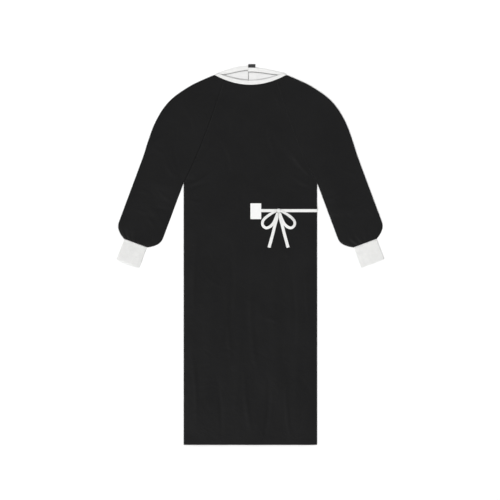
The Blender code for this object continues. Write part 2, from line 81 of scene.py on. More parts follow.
FRONT_SEAM_DIP, FRONT_OPEN_DIP = 32.7, 24.7
BACK_SEAM_POWER = 2.5
FLAPS = {
    "outer": {"seam_rise": 16.8, "open_rise": 24.4, "neck_edge": 16.5, "waist_edge": 110.0},
    "inner": {"seam_rise": 11.0, "open_rise": 18.2, "neck_edge": -7.3, "waist_edge": -100.0},
}
FLAP_SLANT = (1187.8, 877.8)
RAGLAN_NECK_X = 88.0
RAGLAN_BOW = {"front": (150.0, 999.8), "back": (150.0, 1007.8)}
NECK_BOW_FADE = 8
# Shoulder fold: share of the raglan seam, x, height
SHOULDER_FOLD = (
    (0.00, 118.5, 1220.0),
    (0.10, 165.0, 1200.2),
    (0.20, 203.8, 1180.4),
    (0.33, 255.8, 1144.3),
    (0.46, 290.7, 1104.5),
    (0.60, 317.9, 1054.8),
    (0.74, 337.6, 1001.3),
    (0.87, 351.6, 956.8),
    (1.00, 365.6, 918.1),
)

# Cloth
CLOTH = 0.5
FOLD_RADIUS = 1.35
MIDDLE_RISE, RISE_REACH = 3.5, 48.0
HEM_SHARE, HEM_REACH = 0.55, 120.0
NECK_SHARE, NECK_REACH = 0.7, 80.0
FLAP_LIFT, FLAP_LIFT_START, FLAP_LIFT_END = 1.7, 1.0, 15.0
BELT_LIFT, BELT_LIFT_FLAT, BELT_LIFT_END = 1.3, 7.0, 22.0
BELT_LIFT_IN = (150.0, 190.0)
SEAM_DIP = 0.7
SEAM_TUCK = 0.3
NECK_TUCK = 1.2
SIDE_TURN = 1.2
EDGE_ANGLES = (0, 22, 45, 67)

# Large soft folds: from x, height; to x, height; bow; half width; rise
FOLDS = (
    (-120, 678, -150, 68, 0, 38, 1.8),
    (-30, 548, -45, 28, 0, 32, 1.4),
    (70, 628, 95, 108, 0, 40, 2.0),
    (155, 478, 150, 28, 0, 26, 1.5),
    (-205, 883, -60, 1058, 0, 24, 2.0),
    (205, 890, 75, 1028, 0, 26, 1.7),
    (-190, 818, -90, 958, 0, 18, 1.2),
    (20, 1168, -15, 928, 0, 30, 1.2),
    (250, 828, 335, 862, 0, 30, 1.6),
    (285, 768, 352, 812, 0, 26, 1.3),
    (-246, 842, -338, 872, 0, 30, 1.5),
    (-292, 752, -356, 792, 0, 26, 1.4),
)
CREST, CREASE_DEPTH = 1.3, 1.6
# Small creases, ridges and troughs, with the same columns
CREASES = (
    (-216, 852, -112, 912, 7, 9, 1.0),
    (-212, 838, -128, 866, -4, 8, -0.8),
    (-211, 874, -124, 968, 9, 11, 0.9),
    (-206, 812, -150, 800, 5, 8, 0.6),
    (215, 848, 124, 898, -6, 9, 0.9),
    (210, 836, 146, 856, 4, 7, -0.7),
    (209, 880, 130, 980, -9, 11, 1.0),
    (-168, 700, -184, 430, 11, 14, 1.0),
    (-64, 650, -92, 310, -15, 17, -1.0),
    (6, 560, 24, 236, 12, 15, 0.9),
    (128, 600, 143, 300, -10, 14, -0.9),
    (186, 620, 197, 372, 6, 10, 0.8),
    (-198, 330, -178, 58, -7, 12, 0.9),
    (-18, 262, 8, 24, 9, 14, 1.0),
    (60, 226, 42, 8, -7, 12, -0.8),
    (118, 208, 134, 12, 6, 11, 0.9),
    (-112, 236, -96, 6, -6, 12, -0.8),
    (-74, 470, -58, 250, 6, 10, 0.7),
    (-112, 1014, -70, 866, -13, 14, -0.8),
    (58, 1086, 92, 934, 10, 13, 0.8),
    (-38, 1126, -64, 986, 7, 12, 0.7),
    (-72, 1178, -100, 1108, 5, 9, 0.7),
    (68, 1174, 94, 1112, -5, 9, 0.7),
    (4, 1172, 9, 1096, 3, 9, -0.6),
    (-150, 560, -80, 520, 8, 9, 0.6),
    (40, 420, 108, 392, -7, 10, 0.6),
    (244, 806, 316, 840, 6, 8, 1.0),
    (262, 778, 342, 800, -6, 9, -0.8),
    (374, 850, 316, 812, 6, 8, 0.9),
    (392, 800, 334, 770, 5, 8, 0.8),
    (298, 906, 350, 884, -5, 10, 0.8),
    (234, 872, 288, 936, 9, 11, 1.0),
    (230, 890, 262, 992, 9, 10, -0.8),
    (334, 1012, 258, 1046, 11, 13, 0.9),
    (170, 1010, 206, 1112, -12, 12, 0.8),
    (318, 720, 352, 764, -5, 9, 0.8),
    (404, 742, 366, 782, 4, 8, -0.7),
    (-240, 796, -306, 842, -7, 9, 1.0),
    (-256, 764, -330, 782, 5, 8, -0.8),
    (-380, 838, -326, 822, -5, 8, 0.8),
    (-386, 778, -338, 758, -4, 9, 0.9),
    (-232, 876, -282, 944, -9, 12, 1.0),
    (-228, 896, -250, 990, -8, 10, -0.8),
    (-328, 984, -266, 1016, -9, 12, 0.9),
    (-180, 1030, -226, 1118, 11, 12, 0.8),
    (-316, 712, -344, 752, 5, 9, 0.8),
    (-410, 730, -376, 790, -6, 8, -0.7),
)
# Shallow waves over the whole cloth: wavelength across, along, phase, height
WAVES = ((148, 420, 0.4, 0.22), (93, -260, 2.1, 0.17), (61, 190, 4.0, 0.1), (230, 117, 1.3, 0.16))
# Creases of the underside, which lift it a little from the surface, with the same columns
UNDER_CREASES = (
    (-150, 640, -168, 220, 9, 14, 0.6),
    (-60, 720, -40, 330, -12, 16, 0.5),
    (40, 520, 62, 120, 8, 13, 0.6),
    (168, 600, 158, 250, -7, 12, 0.6),
    (-205, 860, -90, 960, 8, 11, 0.6),
    (208, 862, 110, 970, -8, 11, 0.6),
    (-110, 240, -92, 40, 6, 12, 0.5),
    (150, 1070, 70, 1130, 6, 11, 0.4),
    (250, 820, 330, 850, 5, 9, 0.6),
    (300, 760, 368, 790, -5, 9, 0.5),
    (-250, 830, -326, 862, -5, 9, 0.6),
    (-300, 740, -360, 778, 5, 9, 0.5),
    (262, 980, 330, 1000, 6, 10, 0.5),
    (-258, 985, -326, 1010, -6, 10, 0.5),
)

# Sleeve gathers at the cuff
GATHERS = 6
GATHER_RISE, GATHER_REACH = 2.2, 55.0
GATHER_UNEVEN = (1.0, 0.72, 1.12, 0.86, 1.16, 0.78)
FINE_GATHERS = 19
FINE_GATHER_RISE, FINE_GATHER_REACH = 0.7, 30.0
SEAM_GATHER, SEAM_GATHER_REACH = 0.16, 9.0
UNDER_GATHERS = 9
UNDER_GATHER_RISE = 0.7

# Knit cuffs
KNIT, CUFF_TUCK = 1.6, 0.4
CUFF_RADIUS, CUFF_RISE = 1.75, 2.8
RIBS = 29
RIB_RISE, UNDER_RIB_RISE = 0.55, 0.3
KNIT_STITCH, KNIT_SLANT = 1.5, 1.1
RIB_SAMPLES = 8

# Neck binding and tab
BINDING = 1.4
BINDING_PROUD = 0.4
BINDING_CROWN = 0.25
TAB_BORDER_INSET = 1.8

# Waist tie
TAPE, TAPE_WIDTH, CARD = 1.0, 10.0, 1.0
TAPE_CLEARANCE = 0.3
WARP_PITCH, WEFT_PITCH = 0.8, 0.7
KNOT = (92.8, WAIST_HEIGHT)
KNOT_SIZE = (13.0, 12.5, 7.0)
KNOT_PLEATS, KNOT_PLEAT, KNOT_LEAN = 3.4, 0.28, 7
CARD_MIDDLE, CARD_SIZE = (17.9, 770.2), (35.6, 52.0)
PLATE_CORNER, PLATE_SOFT, PLATE_FLAT = 1.6, 0.25, 1.0
TIE_UNDER_CARD, TIE_IN_KNOT = 9.0, 1.0
TIE_TURN_RADIUS, TIE_TURN_START = 1.2, 4.0
TIE_SIDE = BODY_HALF - 0.4
# Loop and tail: across, up, width, tilt in degrees, clearance over the front, depth of the middle crease
LOOP = (
    (-6.6, -1.6, 5.6, 0, 1.7, 1.1),
    (-22.0, -8.8, 8.0, 8, 1.7, 0.7),
    (-34.0, -16.5, 9.6, 16, 1.2, 0.2),
    (-45.0, -25.5, 10.0, 24, 0.35, 0),
    (-52.4, -36.0, 10.0, 28, 0.35, 0),
    (-51.8, -48.5, 10.0, 28, 0.35, 0),
    (-41.5, -56.8, 10.0, 26, 0.35, 0),
    (-28.5, -52.8, 10.0, 20, 1.0, 0.1),
    (-17.6, -41.5, 9.4, 12, 1.7, 0.4),
    (-10.4, -25.0, 7.8, 6, 1.7, 0.8),
    (-4.9, -7.0, 5.2, 0, 1.7, 1.1),
)
TAIL = (
    (-2.8, -5.6, 4.8, 0, 0.35, 0.9),
    (-4.2, -22.8, 7.2, 0, 0.35, 0.55),
    (-7.9, -36.0, 8.5, 0, 0.35, 0.3),
    (-12.4, -50.0, 9.5, 0, 0.35, 0.1),
    (-20.0, -80.0, 10.0, 0, 0.35, 0),
    (-31.4, -121.5, 10.0, 0, 0.35, 0),
)

# Sewing: how far each line lies from its edge
STITCH_INSET = 3.0
CUFF_SEAM_INSET = 2.6
HEM_STITCH_HEIGHT = 13.0
EDGE_STITCH_INSET = 1.3
BINDING_STITCH_SHARE = 0.16
SEAM_OVERLOCK_SHARE = -0.12
FLAP_OVERLOCK_TOP = 1180
# Its height over the cloth and over a binding
THREAD_LIFT, BINDING_THREAD_LIFT = 0.05, 0.1
# Stitches: pitch, length, width, slant in degrees
BINDING_STITCH = (3.2, 2.3, 0.55, 0)
SEAM_STITCH = (3.4, 2.5, 0.5, 0)
OVERLOCK_STITCH = (1.05, 3.2, 0.6, 66)
TAB_STITCH = (2.2, 1.7, 0.5, 0)

# Camera and light, in metres
CAMERA_LENS, SENSOR = 80.0, 36.0
VIEW_WIDTH = 1.65
VIEW_MIDDLE = (-0.0013, 0.0147)
# The sky: share of the way up, brightness
SKY = ((0.12, 1.0), (0.4, 0.15))
# Suns: name, place, spread in degrees, share of full light on a level surface
SUNS = (
    ("key", (-1.5, -2.0, 2.1), 14, 0.56),
    ("side_fill", (2.4, 0.4, 2.2), 40, 0.18),
    ("neck_fill", (0.4, 2.4, 2.2), 40, 0.2),
)


# Numbers


def ease(share):
    share = np.clip(share, 0, 1)
    return share * share * (3 - 2 * share)


def mix(start, end, share):
    return start + (end - start) * share


def smooth_through(rows, steps):
    """Rows of numbers on a Catmull-Rom curve through these rows, with this many steps between each two."""
    rows = [np.array(row, float) for row in rows]
    rows = [2 * rows[0] - rows[1], *rows, 2 * rows[-1] - rows[-2]]
    found = []
    for before, start, end, after in zip(rows, rows[1:], rows[2:], rows[3:]):
        for step in range(steps):
            t = step / steps
            bend = (2 * before - 5 * start + 4 * end - after) * t * t
            turn = (3 * (start - end) + after - before) * t**3
            found.append((2 * start + (end - before) * t + bend + turn) / 2)
    return np.array([*found, rows[-2]])


def directions(points):
    """The unit way that a line of points runs, at each of them."""
    ways = np.gradient(np.asarray(points, float), axis=0)
    return ways / np.linalg.norm(ways, axis=1)[:, None]


# Plan curves


def front_seam(x):
    return SHOULDER_HEIGHT - FRONT_SEAM_DIP * (1 - (x / SEAM_NECK_HALF) ** 2)


def front_opening(x):
    return OPEN_NECK_HEIGHT - FRONT_OPEN_DIP * (1 - (x / OPEN_NECK_HALF) ** 2)


def back_seam(x, flap):
    inward = np.maximum(1 - (x / SEAM_NECK_HALF) ** 2, 0)
    return SHOULDER_HEIGHT + FLAPS[flap]["seam_rise"] * inward**BACK_SEAM_POWER


def back_opening(x, flap):
    return OPEN_NECK_HEIGHT + FLAPS[flap]["open_rise"] * (1 - (x / OPEN_NECK_HALF) ** 2)


def neck_seam(x, layer):
    return front_seam(x) if layer == "front" else back_seam(x, layer)


def neck_opening(x, layer):
    return front_opening(x) if layer == "front" else back_opening(x, layer)


def flap_edge(height, flap):
    share = ease((FLAP_SLANT[0] - height) / (FLAP_SLANT[0] - FLAP_SLANT[1]))
    return mix(FLAPS[flap]["neck_edge"], FLAPS[flap]["waist_edge"], share)


def raglan(share, layer):
    start = np.array((RAGLAN_NECK_X, neck_seam(RAGLAN_NECK_X, layer)))
    bow = np.array(RAGLAN_BOW["front" if layer == "front" else "back"])
    end = np.array((BODY_HALF, UNDERARM_HEIGHT))
    return (1 - share) ** 2 * start + 2 * share * (1 - share) * bow + share**2 * end


SHOULDER_CURVE = smooth_through(SHOULDER_FOLD, 12)


def shoulder_point(share):
    """A plan point on the shoulder fold, and the way out from it."""

    def at(value):
        return np.array([np.interp(value, SHOULDER_CURVE[:, 0], SHOULDER_CURVE[:, k]) for k in (1, 2)])

    along = at(min(share + 0.02, 1)) - at(max(share - 0.02, 0))
    return at(share), np.array([-along[1], along[0]]) / hypot(*along)


def arm_point(station, across):
    """A plan point of the sleeve at +X, from its place down the arm from the wrist and across it."""
    x = WRIST[0] + station * sin(SLEEVE_ANGLE) + across * cos(SLEEVE_ANGLE)
    height = WRIST[1] - station * cos(SLEEVE_ANGLE) + across * sin(SLEEVE_ANGLE)
    return np.array([x, height])


def tube_edge(station, side):
    """A plan point on the sleeve tube's outline, and the way out from it; side is 1 outside, -1 inside."""
    widest = SLEEVE_OUT if side > 0 else SLEEVE_IN
    turn = max((station + WRIST_ROUND) / WRIST_ROUND, 0)
    across = mix(widest, WRIST_HALF, turn**2.5)
    slope = -2.5 * turn**1.5 * (widest - WRIST_HALF) / WRIST_ROUND
    outward = arm_point(-slope, side) - arm_point(0, 0)
    return arm_point(station, side * across), outward / hypot(*outward)


SHARES = np.linspace(0, 1, 61)
STATIONS = np.concatenate(
    [np.linspace(-TUBE_LENGTH, -WRIST_ROUND, 40)[:-1], -WRIST_ROUND * np.linspace(1, 0, 26) ** 1.5]
)


def outline():
    """The gown's outline at +X as pairs of plan points, without the hem, the neckline and the cuff's end."""
    inside = [tube_edge(station, -1)[0] for station in STATIONS]
    outside = [tube_edge(station, 1)[0] for station in STATIONS]
    shoulder = [shoulder_point(share)[0] for share in SHARES]
    past_hem, underarm = (BODY_HALF, -RISE_REACH), (BODY_HALF, UNDERARM_HEIGHT)
    body = [past_hem, underarm, *inside, arm_point(CUFF_LENGTH, -CUFF_HALF[1])]
    top = [(OPEN_NECK_HALF, OPEN_NECK_HEIGHT), *shoulder, *outside, arm_point(CUFF_LENGTH, CUFF_HALF[1])]
    pairs = np.array([*zip(body, body[1:]), *zip(top, top[1:])])
    lengths = np.linalg.norm(pairs[:, 1] - pairs[:, 0], axis=1)
    return pairs[lengths > GAP]


OUTLINE = outline()


# Heights above the surface


def outline_distance(x, height):
    points = np.stack([np.abs(x), height], axis=-1)
    nearest = np.full(x.shape, np.inf)
    for start, end in OUTLINE:
        along = end - start
        share = np.clip(((points - start) @ along) / (along @ along), 0, 1)
        gap = points - (start + share[..., None] * along)
        nearest = np.minimum(nearest, (gap**2).sum(axis=-1))
    return np.sqrt(nearest)


def crease_rise(x, height, table):
    """How much the table's creases raise the cloth: each fades at its sides and ends."""
    rise = np.zeros_like(x)
    for x0, h0, x1, h1, bow, half_width, top in table:
        length = hypot(x1 - x0, h1 - h0)
        along = ((x - x0) * (x1 - x0) + (height - h0) * (h1 - h0)) / length**2
        inside = np.clip(along, 0, 1)
        off = ((x - x0) * (h1 - h0) - (height - h0) * (x1 - x0)) / length
        off = np.abs(off - bow * 4 * inside * (1 - inside))
        across = ease(1 - off / half_width) ** CREST
        rise += top * across * np.sin(pi * inside)
    return rise


def wave_rise(x, height):
    rise = np.zeros_like(x)
    for across, along, phase, top in WAVES:
        rise += top * np.sin(2 * pi * (x / across + height / along) + phase)
    return rise


def over_belt(height):
    past = (np.abs(height - WAIST_HEIGHT) - BELT_LIFT_FLAT) / (BELT_LIFT_END - BELT_LIFT_FLAT)
    return BELT_LIFT * (1 - ease(past))


def top_height(x, height):
    """The outer face of the front and of the sleeves' upper side."""
    x, height = np.asarray(x, float), np.asarray(height, float)
    inward = np.maximum(outline_distance(x, height) - FOLD_RADIUS, 0)
    share = 1 - (1 - np.minimum(inward / RISE_REACH, 1)) ** 2
    share = share * mix(HEM_SHARE, 1, ease(height / HEM_REACH))
    share = share * mix(NECK_SHARE, 1, ease((front_opening(x) - height) / NECK_REACH))
    rise = MIDDLE_RISE + crease_rise(x, height, FOLDS) + wave_rise(x, height)
    small = CREASE_DEPTH * crease_rise(x, height, CREASES) * np.minimum(share * 2, 1)
    belt = ease((x - BELT_LIFT_IN[0]) / (BELT_LIFT_IN[1] - BELT_LIFT_IN[0])) * over_belt(height)
    return 2 * FOLD_RADIUS + share * rise + small + belt


def under_height(x, height):
    """The underside of the layer that lies on the surface, with its creases a little off it."""
    x, height = np.asarray(x, float), np.asarray(height, float)
    return crease_rise(x, height, UNDER_CREASES)


def inner_flap_height(x, height):
    """The underside of the inner flap, which lies on the outer flap and on the belt."""
    past = x - flap_edge(height, "outer") - FLAP_LIFT_START
    on_flap = FLAP_LIFT * (1 - ease(past / (FLAP_LIFT_END - FLAP_LIFT_START)))
    clear = 1 - ease(on_flap / FLAP_LIFT)
    return np.maximum(on_flap + clear * under_height(x, height), over_belt(height))


# Materials


class Finish:
    """A material's node tree, with short ways to add to it."""

    def __init__(self, name, colour, roughness):
        self.material = bpy.data.materials.new(name)
        self.material.use_nodes = True
        self.tree = self.material.node_tree
        self.shader = self.tree.nodes["Principled BSDF"]
        self.shader.inputs["Base Color"].default_value = (*colour, 1)
        self.shader.inputs["Roughness"].default_value = roughness
        self.normal = None

    def connect(self, socket, value):
        if isinstance(value, bpy.types.NodeSocket):
            self.tree.links.new(value, socket)
        else:
            socket.default_value = value

    def set(self, **values):
        for key, value in values.items():
            self.connect(self.shader.inputs[key.replace("_", " ")], value)

    def node(self, kind, **inputs):
        made = self.tree.nodes.new(kind)
        for key, value in inputs.items():
            self.connect(made.inputs[key.replace("_", " ")], value)
        return made

    def math(self, operation, first, second=0.0):
        made = self.tree.nodes.new("ShaderNodeMath")
        made.operation = operation
        for socket, value in zip(made.inputs, (first, second)):
            self.connect(socket, value)
        return made.outputs[0]

    def wave(self, place, length):
        """A sine along a place in millimetres, with this wavelength."""
        return self.math("SINE", self.math("MULTIPLY", place, 2 * pi / length))

    def place(self):
        return self.tree.nodes.new("ShaderNodeTexCoord").outputs["Object"]

    def cloth_place(self):
        """Places across and along the cloth, in millimetres."""
        uv = self.tree.nodes.new("ShaderNodeUVMap")
        uv.uv_map = UV_NAME
        parts = self.node("ShaderNodeSeparateXYZ", Vector=uv.outputs[0])
        return parts.outputs[0], parts.outputs[1]

    def noise(self, scale, detail=3.0, distortion=0.0):
        inputs = {"Vector": self.place(), "Scale": scale, "Detail": detail, "Distortion": distortion}
        return self.node("ShaderNodeTexNoise", **inputs).outputs["Fac"]

    def dots(self, scale, randomness):
        """The distance from the nearest of many small dots."""
        inputs = {"Vector": self.place(), "Scale": scale, "Randomness": randomness}
        return self.node("ShaderNodeTexVoronoi", **inputs).outputs["Distance"]

    def bump(self, height, distance):
        made = self.node("ShaderNodeBump", Height=height, Distance=distance * MM, Strength=1.0)
        if self.normal is not None:
            self.connect(made.inputs["Normal"], self.normal)
        self.normal = made.outputs[0]
        self.set(Normal=self.normal)

    def vary(self, amount, low, high):
        """Colour between low and high by a number from 0 to 1."""
        ramp = self.node("ShaderNodeValToRGB", Fac=amount)
        for element, position, colour in zip(ramp.color_ramp.elements, (0.3, 0.7), (low, high)):
            element.position = position
            element.color = (*colour, 1)
        self.set(Base_Color=ramp.outputs[0])


def nonwoven(name, low, high, roughness, gloss, sheen):
    """Spunbonded cloth: a grid of tiny bonded dots over loose fibres, softly crumpled."""
    finish = Finish(name, high, roughness)
    finish.set(Specular_IOR_Level=gloss, Sheen_Weight=sheen, Sheen_Roughness=0.45)
    finish.vary(finish.noise(9.0, 5.0), low, high)
    finish.bump(finish.noise(17.0, 3.0, 0.8), 2.4)
    finish.bump(finish.noise(70.0, 4.0, 0.5), 0.5)
    dot_depth = finish.math("MULTIPLY", finish.dots(720.0, 0.12), 2.6)
    finish.bump(finish.math("MINIMUM", dot_depth, 1.0), 0.07)
    finish.bump(finish.noise(2600.0, 2.0), 0.03)
    return finish.material


def knit():
    """Rib knit: rows of small V stitches down each rib."""
    finish = Finish("white_knit", (0.84, 0.84, 0.82), 0.92)
    finish.set(Sheen_Weight=0.25, Sheen_Roughness=0.6)
    across, along = finish.cloth_place()
    finish.vary(finish.noise(60.0, 4.0), (0.73, 0.73, 0.72), (0.79, 0.79, 0.78))
    half_rib = CUFF_HALF[0] / RIBS
    side = finish.math("PINGPONG", finish.math("DIVIDE", across, half_rib), 1.0)
    slanted = finish.math("ADD", along, finish.math("MULTIPLY", side, KNIT_SLANT))
    finish.bump(finish.wave(slanted, KNIT_STITCH), 0.12)
    finish.bump(finish.noise(1500.0, 3.0), 0.06)
    return finish.material


def tape():
    """White woven tape: fine warp and weft."""
    finish = Finish("white_tape", (0.86, 0.86, 0.85), 0.82)
    finish.set(Sheen_Weight=0.15)
    across, along = finish.cloth_place()
    finish.vary(finish.noise(90.0, 4.0), (0.76, 0.76, 0.75), (0.8, 0.8, 0.79))
    weave = finish.math("MULTIPLY", finish.wave(across, WARP_PITCH), finish.wave(along, WEFT_PITCH))
    finish.bump(weave, 0.08)
    finish.bump(finish.noise(700.0, 2.0), 0.025)
    return finish.material


def card():
    finish = Finish("white_card", (0.9, 0.9, 0.895), 0.55)
    finish.vary(finish.noise(150.0, 6.0), (0.81, 0.81, 0.805), (0.84, 0.84, 0.835))
    finish.bump(finish.noise(1100.0, 4.0), 0.03)
    return finish.material


def hooks():
    """Hook tape: rows of small stiff hooks, with a painted highlight on each hook and painted shade between
    them.
    """
    finish = Finish("black_hooks", (0.02, 0.02, 0.021), 0.5)
    hook = finish.dots(850.0, 0.3)
    finish.bump(finish.math("SUBTRACT", 1.0, hook), 0.25)
    # Painted light and shade: the colour is lighter on the hooks and darker between them, following the bump
    finish.vary(hook, (0.03, 0.03, 0.031), (0.012, 0.012, 0.013))
    return finish.material


def thread(name, colour):
    finish = Finish(name, colour, 0.6)
    finish.bump(finish.noise(3000.0, 2.0), 0.04)
    finish.vary(finish.noise(700.0, 2.0), tuple(0.8 * part for part in colour), colour)
    return finish.material


# Mesh makers


def placed(points):
    """Metres in the frame, from x, height up the gown and height above the surface."""
    return (np.asarray(points, float) - (0, GOWN_LENGTH / 2, 0)) * MM


def add_piece(name, mesh, material, nodes=()):
    """An object on the gown's one body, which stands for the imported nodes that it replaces."""
    if material:
        mesh.materials.append(material)
    mesh.shade_smooth()
    obj = bpy.data.objects.new(name, mesh)
    bpy.context.scene.collection.objects.link(obj)
    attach(obj, "root")
    for node in nodes:
        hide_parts(node)
    return obj


def grid_mesh(name, grid, closed=False, uv=None):
    """A mesh over a grid of points. Closed joins the ends of each row, and a point of NaN leaves a gap."""
    rows, columns = grid.shape[:2]
    index = np.arange(rows * columns).reshape(rows, columns)
    right = np.roll(index, -1, axis=1)
    quads = np.stack([index[:-1], right[:-1], right[1:], index[1:]], axis=-1)
    if not closed:
        quads = quads[:, :-1]
    shape = quads.shape[:2]
    quads = quads.reshape(-1, 4)
    points = grid.reshape(-1, 3)
    whole = ~np.isnan(points[quads]).any(axis=(1, 2))
    used, corners = np.unique(quads[whole], return_inverse=True)
    mesh = bpy.data.meshes.new(name)
    mesh.from_pydata(placed(points[used]).tolist(), [], corners.reshape(-1, 4).tolist())
    if uv is not None:
        corner_uv = np.stack([uv[:-1, :-1], uv[:-1, 1:], uv[1:, 1:], uv[1:, :-1]], axis=2)
        corner_uv = corner_uv[: shape[0], : shape[1]].reshape(-1, 4, 2)[whole]
        layer = mesh.uv_layers.new(name=UV_NAME)
        layer.data.foreach_set("uv", corner_uv.astype(np.float32).ravel())
    mesh.update()
    return mesh


def thicken(obj, outside_up, cloth, inside):
    """Makes a surface a wall of cloth, with its inside face white down to the turned hem."""
    sides = (cloth, inside) if outside_up else (inside, cloth)
    for material in (*sides, cloth, cloth):
        obj.data.materials.append(material)
    hem_top = placed((0, HEM_STITCH_HEIGHT, 0))[1]
    for face in obj.data.polygons:
        if face.center.y < hem_top:
            face.material_index = 2
    solidify = obj.modifiers.new("Solidify", "SOLIDIFY")
    solidify.thickness = CLOTH * MM
    solidify.offset = -1 if outside_up else 1
    solidify.material_offset = 1
    solidify.material_offset_rim = 0 if outside_up else 1


def cloth_piece(name, node, grid, outside_up, cloth, inside, closed=False):
    obj = add_piece(name, grid_mesh(name, grid, closed), None, [node])
    thicken(obj, outside_up, cloth, inside)
    return obj


def close_ends(mesh, cap=0):
    """Joins a wall's two open edges, or caps both ends of a tube whose rings have cap points."""
    work = bmesh.new()
    work.from_mesh(mesh)
    if cap:
        work.verts.ensure_lookup_table()
        work.faces.new(work.verts[:cap])
        work.faces.new(work.verts[-cap:])
    else:
        bmesh.ops.bridge_loops(work, edges=[edge for edge in work.edges if edge.is_boundary])
    bmesh.ops.recalc_face_normals(work, faces=work.faces[:])
    work.to_mesh(mesh)
    work.free()


# The panels


def row_height(side, seam_height, share, layer):
    neck = neck_seam(RAGLAN_NECK_X, layer)
    narrowing = RAGLAN_NECK_X / side
    return lambda x: seam_height + (1 - share) ** 2 * (neck_seam(x * narrowing, layer) - neck)


def panel_rows(layer, spacing):
    """The side x, the height at each x and how closed the side is, of each row from hem to neck."""
    count = round(UNDERARM_HEIGHT / spacing)
    for height in np.linspace(0, UNDERARM_HEIGHT, count)[:-1]:
        yield BODY_HALF, row_height(BODY_HALF, height, 1, layer), 1.0
    for share in SHARES[::-1]:
        x, height = raglan(share, layer)
        yield x, row_height(x, height, share, layer), float(ease((share - 0.9) / 0.1))


def side_drops(closed):
    """How far the side's last points drop: round the folded side of the body, or into the raglan seam."""
    depth = mix(SEAM_DIP, SIDE_TURN, closed)
    return np.array([depth * (1 - sin(radians(angle))) for angle in EDGE_ANGLES])


def side_places(side):
    return np.array([side - FOLD_RADIUS * (1 - cos(radians(angle))) for angle in EDGE_ANGLES])


def edge_in_row(height, flap):
    """Where a flap's slanting edge crosses a row."""
    x = 0
    for _ in range(6):
        x = flap_edge(height(x), flap)
    return float(x)


def panel_grid(layer, spacing, columns, seams, surface, turn=1):
    """Points from hem to neck. Seams says which sides are sewn and turn to the other layer, down with -1."""
    rows = []
    for side, height, closed in panel_rows(layer, spacing):
        level, places, drops = side - FOLD_RADIUS, side_places(side), side_drops(closed)
        left = -level if seams[0] else edge_in_row(height, layer)
        right = level if seams[1] else edge_in_row(height, layer)
        x, turned = [np.linspace(left, right, columns)], [np.zeros(columns)]
        if seams[0]:
            x.insert(0, -places)
            turned.insert(0, drops)
        if seams[1]:
            x.append(places[::-1])
            turned.append(drops[::-1])
        x = np.concatenate(x)
        plan_height = height(x) + NECK_TUCK * (layer == "front" and side == RAGLAN_NECK_X)
        z = surface(x, plan_height) + turn * np.concatenate(turned)
        rows.append(np.stack([x, plan_height, z], axis=-1))
    return np.array(rows)


def panels(cloth, inside):
    grid = panel_grid("front", 4.6, 112, (True, True), top_height, turn=-1)
    obj = cloth_piece("cloth_front", "front", grid, True, cloth, inside)

    grid = panel_grid("outer", 7.0, 60, (True, False), under_height)
    obj = cloth_piece("cloth_back_outer", "back_outer", grid, False, cloth, inside)

    grid = panel_grid("inner", 6.0, 84, (False, True), inner_flap_height)
    obj = cloth_piece("cloth_back_inner", "back_inner", grid, False, cloth, inside)


# The sleeves and the cuffs


def round_edge(edge, outward, turns):
    """Points round a folded edge, at these turns in degrees from straight out."""
    turns = np.radians(turns)[:, None]
    plan = edge - FOLD_RADIUS * outward + FOLD_RADIUS * np.cos(turns) * outward
    return np.column_stack([plan, FOLD_RADIUS * (1 + np.sin(turns))])


def gather_rise(share, station):
    """The gathers that the sleeve's end is drawn into at the cuff: uneven large ones and finer ones."""
    uneven = np.interp(share * GATHERS - 0.5, range(GATHERS), GATHER_UNEVEN)
    large = GATHER_RISE * uneven * np.sin(pi * GATHERS * share) ** 2
    fine = FINE_GATHER_RISE * np.sin(pi * FINE_GATHERS * share) ** 2 * np.sin(pi * share)
    large_fade = 1 - ease(-station / (GATHER_REACH * uneven))
    into_seam = mix(SEAM_GATHER, 1, ease(-station / SEAM_GATHER_REACH))
    return into_seam * (large * large_fade + fine * (1 - ease(-station / FINE_GATHER_REACH)))


def sleeve_row(start, end, fold, side, station, bow, seam):
    """A row from the under layer's inner edge round the outer fold to the upper layer's inner edge."""
    under_steps, upper_steps = 24, 76
    centre = round_edge(*fold, [90])[0]
    share = np.linspace(0, 1, under_steps + 1)
    under = np.array([mix(start[k], centre[k], share) for k in (0, 1, 1)]).T
    under[:, 1] += bow("under", under[:, 0])
    under[:, 2] = under_height(side * under[:, 0], under[:, 1]) * np.minimum(8 * (1 - share), 1)
    gathers = UNDER_GATHER_RISE * np.sin(pi * UNDER_GATHERS * share) ** 2
    under[:, 2] += gathers * (1 - ease(-station / FINE_GATHER_REACH)) + seam * (share == 0)
    share = np.linspace(0, 1, upper_steps + 1)
    upper = np.array([mix(centre[k], end[k], share) for k in (0, 1, 1)]).T
    upper[:, 1] += bow("upper", upper[:, 0])
    upper[:, 2] = top_height(side * upper[:, 0], upper[:, 1]) + gather_rise(share, station)
    upper[:, 2] -= seam * (share == 1) + 0.4 * seam * (share == share[-2])
    upper[0, 2] = centre[2]
    return np.concatenate([under, round_edge(*fold, [-68, -45, -22, 0, 22, 45, 68]), upper])


